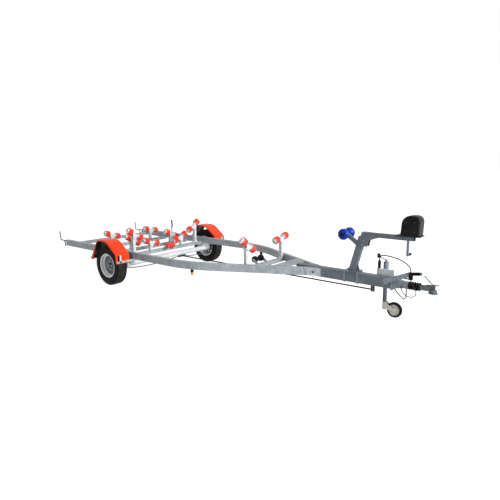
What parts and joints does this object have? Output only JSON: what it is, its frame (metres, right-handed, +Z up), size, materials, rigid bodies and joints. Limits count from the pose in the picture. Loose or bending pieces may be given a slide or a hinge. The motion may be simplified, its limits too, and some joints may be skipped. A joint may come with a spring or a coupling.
{
  "type": "boat trailer",
  "caption": "Single-axle braked boat trailer on its support wheel, with swinging roller pairs, winch post and overrun coupling.",
  "frame": {"origin": "on the floor below the middle of the trailer", "axes": "+X forward to the coupling, +Y left, +Z up"},
  "size_m": [6.1929, 2.226, 1.186],
  "materials": {
    "galvanised": "hot-dip galvanised, dull zinc",
    "axle_zinc": "bright zinc",
    "tyre_rubber": "matt black rubber",
    "wheel_silver": "silver lacquer",
    "guard_red": "moulded orange-red plastic",
    "roller_red": "soft orange-red tread on a pale hub",
    "roller_black": "black rubber",
    "bow_blue": "deep blue rubber",
    "winch_black": "black moulded cover",
    "black_steel": "black painted steel",
    "coupling_grey": "grey coated pressing",
    "bellows_black": "ribbed black rubber",
    "marker_amber": "amber lens",
    "cable_black": "black sheath",
    "cable_red": "red coated wire",
    "support_tyre": "black solid tyre on a cream hub",
    "roller_white": "white nylon core",
    "hub_cream": "cream moulded hub",
    "grip_black": "black moulded grip"
  },
  "bodies": {
    "chassis": {"rail_left": "galvanised", "rail_right": "galvanised", "drawbar": "galvanised", "drawbar_gussets": "galvanised", "axle_beam": "axle_zinc", "mudguard_left": "guard_red", "mudguard_right": "guard_red", "mudguard_brackets": "galvanised", "cross_beams": "galvanised", "keel_brackets": "galvanised", "roller_posts": "galvanised", "winch_post": "galvanised", "winch_arm": "galvanised", "winch_base": "black_steel", "winch_cover": "winch_black", "hitch_housing": "coupling_grey", "bellows": "bellows_black", "coupling_head": "coupling_grey", "coupling_handle": "black_steel", "handbrake_lever": "galvanised", "leg_clamp": "galvanised", "leg_tube": "galvanised", "brake_linkage": "galvanised", "side_markers": "marker_amber", "clamp_handles": "black_steel", "cable_hanger": "galvanised", "lamp_cable": "cable_black", "breakaway_cable": "cable_red", "plug": "cable_black"},
    "wheel_left": {"tyre_left": "tyre_rubber", "rim_left": "wheel_silver"},
    "wheel_right": {"tyre_right": "tyre_rubber", "rim_right": "wheel_silver"},
    "support_leg": {"support_leg": "galvanised"},
    "castor_fork": {"castor_fork": "galvanised"},
    "support_wheel": {"support_wheel": "support_tyre"},
    "rocker_front_right": {"rocker_front_right": "galvanised"},
    "rollers_front_right": {"rollers_front_right": "roller_red"},
    "rocker_front_left": {"rocker_front_left": "galvanised"},
    "rollers_front_left": {"rollers_front_left": "roller_red"},
    "rocker_outer_right": {"rocker_outer_right": "galvanised"},
    "rollers_outer_right": {"rollers_outer_right": "roller_red"},
    "rocker_outer_left": {"rocker_outer_left": "galvanised"},
    "rollers_outer_left": {"rollers_outer_left": "roller_red"},
    "rocker_inner_right": {"rocker_inner_right": "galvanised"},
    "rollers_inner_right": {"rollers_inner_right": "roller_red"},
    "rocker_inner_left": {"rocker_inner_left": "galvanised"},
    "rollers_inner_left": {"rollers_inner_left": "roller_red"},
    "rocker_middle_right": {"rocker_middle_right": "galvanised"},
    "rollers_middle_right": {"rollers_middle_right": "roller_red"},
    "rocker_middle_left": {"rocker_middle_left": "galvanised"},
    "rollers_middle_left": {"rollers_middle_left": "roller_red"},
    "rocker_rear_right": {"rocker_rear_right": "galvanised"},
    "rollers_rear_right": {"rollers_rear_right": "roller_red"},
    "rocker_rear_left": {"rocker_rear_left": "galvanised"},
    "rollers_rear_left": {"rollers_rear_left": "roller_red"},
    "keel_roller_front": {"keel_roller_front": "roller_black"},
    "keel_roller_axle": {"keel_roller_axle": "roller_red"},
    "bow_roller": {"bow_roller": "bow_blue"},
    "winch_crank": {"winch_crank": "galvanised"}
  },
  "joints": [
    {"name": "spin_left", "type": "hinge", "parent": "chassis", "child": "wheel_left", "pos_m": [-1.2485, 1, 0.289], "axis": [0, 1, 0], "continuous": true},
    {"name": "spin_right", "type": "hinge", "parent": "chassis", "child": "wheel_right", "pos_m": [-1.2485, -1, 0.289], "axis": [0, 1, 0], "continuous": true},
    {"name": "leg_slide", "type": "slide", "parent": "chassis", "child": "support_leg", "axis": [0, 0, 1], "range_m": [0, 0.1]},
    {"name": "castor_swivel", "type": "hinge", "parent": "support_leg", "child": "castor_fork", "pos_m": [2.4715, 0.112, 0.078], "axis": [0, 0, 1], "continuous": true},
    {"name": "support_spin", "type": "hinge", "parent": "castor_fork", "child": "support_wheel", "pos_m": [2.5925, 0.112, 0.09], "axis": [0, 1, 0], "continuous": true},
    {"name": "swing_front_right", "type": "hinge", "parent": "chassis", "child": "rocker_front_right", "pos_m": [0.8195, -0.38, 0.66], "axis": [1, 0, 0], "range_deg": [-5, 75]},
    {"name": "roll_front_right", "type": "hinge", "parent": "rocker_front_right", "child": "rollers_front_right", "pos_m": [0.8195, -0.34444, 0.71079], "axis": [0, 0.8192, -0.5736], "continuous": true},
    {"name": "swing_front_left", "type": "hinge", "parent": "chassis", "child": "rocker_front_left", "pos_m": [0.8195, 0.38, 0.646], "axis": [1, 0, 0], "range_deg": [-51, 29]},
    {"name": "roll_front_left", "type": "hinge", "parent": "rocker_front_left", "child": "rollers_front_left", "pos_m": [0.8195, 0.36817, 0.70686], "axis": [0, 0.9816, 0.1908], "continuous": true},
    {"name": "swing_outer_right", "type": "hinge", "parent": "chassis", "child": "rocker_outer_right", "pos_m": [-1.1935, -0.632, 0.646], "axis": [1, 0, 0], "range_deg": [-9, 71]},
    {"name": "roll_outer_right", "type": "hinge", "parent": "rocker_outer_right", "child": "rollers_outer_right", "pos_m": [-1.1935, -0.60007, 0.69914], "axis": [0, 0.8572, -0.515], "continuous": true},
    {"name": "swing_outer_left", "type": "hinge", "parent": "chassis", "child": "rocker_outer_left", "pos_m": [-1.1935, 0.632, 0.64], "axis": [1, 0, 0], "range_deg": [-73, 7]},
    {"name": "roll_outer_left", "type": "hinge", "parent": "rocker_outer_left", "child": "rollers_outer_left", "pos_m": [-1.1935, 0.59823, 0.692], "axis": [0, 0.8387, 0.5446], "continuous": true},
    {"name": "swing_inner_right", "type": "hinge", "parent": "chassis", "child": "rocker_inner_right", "pos_m": [-1.1935, -0.318, 0.482], "axis": [1, 0, 0], "range_deg": [-17, 47]},
    {"name": "roll_inner_right", "type": "hinge", "parent": "rocker_inner_right", "child": "rollers_inner_right", "pos_m": [-1.1935, -0.30195, 0.54189], "axis": [0, 0.9659, -0.2588], "continuous": true},
    {"name": "swing_inner_left", "type": "hinge", "parent": "chassis", "child": "rocker_inner_left", "pos_m": [-1.1935, 0.318, 0.482], "axis": [1, 0, 0], "range_deg": [-54, 10]},
    {"name": "roll_inner_left", "type": "hinge", "parent": "rocker_inner_left", "child": "rollers_inner_left", "pos_m": [-1.1935, 0.29477, 0.53949], "axis": [0, 0.9272, 0.3746], "continuous": true},
    {"name": "swing_middle_right", "type": "hinge", "parent": "chassis", "child": "rocker_middle_right", "pos_m": [-1.5685, -0.405, 0.487], "axis": [1, 0, 0], "range_deg": [-1, 63]},
    {"name": "roll_middle_right", "type": "hinge", "parent": "rocker_middle_right", "child": "rollers_middle_right", "pos_m": [-1.5685, -0.37307, 0.54014], "axis": [0, 0.8572, -0.515], "continuous": true},
    {"name": "swing_middle_left", "type": "hinge", "parent": "chassis", "child": "rocker_middle_left", "pos_m": [-1.5685, 0.405, 0.487], "axis": [1, 0, 0], "range_deg": [-8, 56]},
    {"name": "roll_middle_left", "type": "hinge", "parent": "rocker_middle_left", "child": "rollers_middle_left", "pos_m": [-1.5685, 0.43022, 0.54364], "axis": [0, 0.9135, -0.4067], "continuous": true},
    {"name": "swing_rear_right", "type": "hinge", "parent": "chassis", "child": "rocker_rear_right", "pos_m": [-2.1185, -0.403, 0.518], "axis": [1, 0, 0], "range_deg": [-15, 49]},
    {"name": "roll_rear_right", "type": "hinge", "parent": "rocker_rear_right", "child": "rollers_rear_right", "pos_m": [-2.1185, -0.38487, 0.57729], "axis": [0, 0.9563, -0.2924], "continuous": true},
    {"name": "swing_rear_left", "type": "hinge", "parent": "chassis", "child": "rocker_rear_left", "pos_m": [-2.1185, 0.403, 0.512], "axis": [1, 0, 0], "range_deg": [-21, 43]},
    {"name": "roll_rear_left", "type": "hinge", "parent": "rocker_rear_left", "child": "rollers_rear_left", "pos_m": [-2.1185, 0.41483, 0.57286], "axis": [0, 0.9816, -0.1908], "continuous": true},
    {"name": "keel_roll_front", "type": "hinge", "parent": "chassis", "child": "keel_roller_front", "pos_m": [0.7065, 0, 0.462], "axis": [0, 1, 0], "continuous": true},
    {"name": "keel_roll_axle", "type": "hinge", "parent": "chassis", "child": "keel_roller_axle", "pos_m": [-1.0985, 0, 0.452], "axis": [0, 1, 0], "continuous": true},
    {"name": "bow_roll", "type": "hinge", "parent": "chassis", "child": "bow_roller", "pos_m": [2.0235, 0, 0.926], "axis": [0, 1, 0], "continuous": true},
    {"name": "crank_turn", "type": "hinge", "parent": "chassis", "child": "winch_crank", "pos_m": [2.7135, 0.075, 1], "axis": [0, 1, 0], "continuous": true}
  ]
}
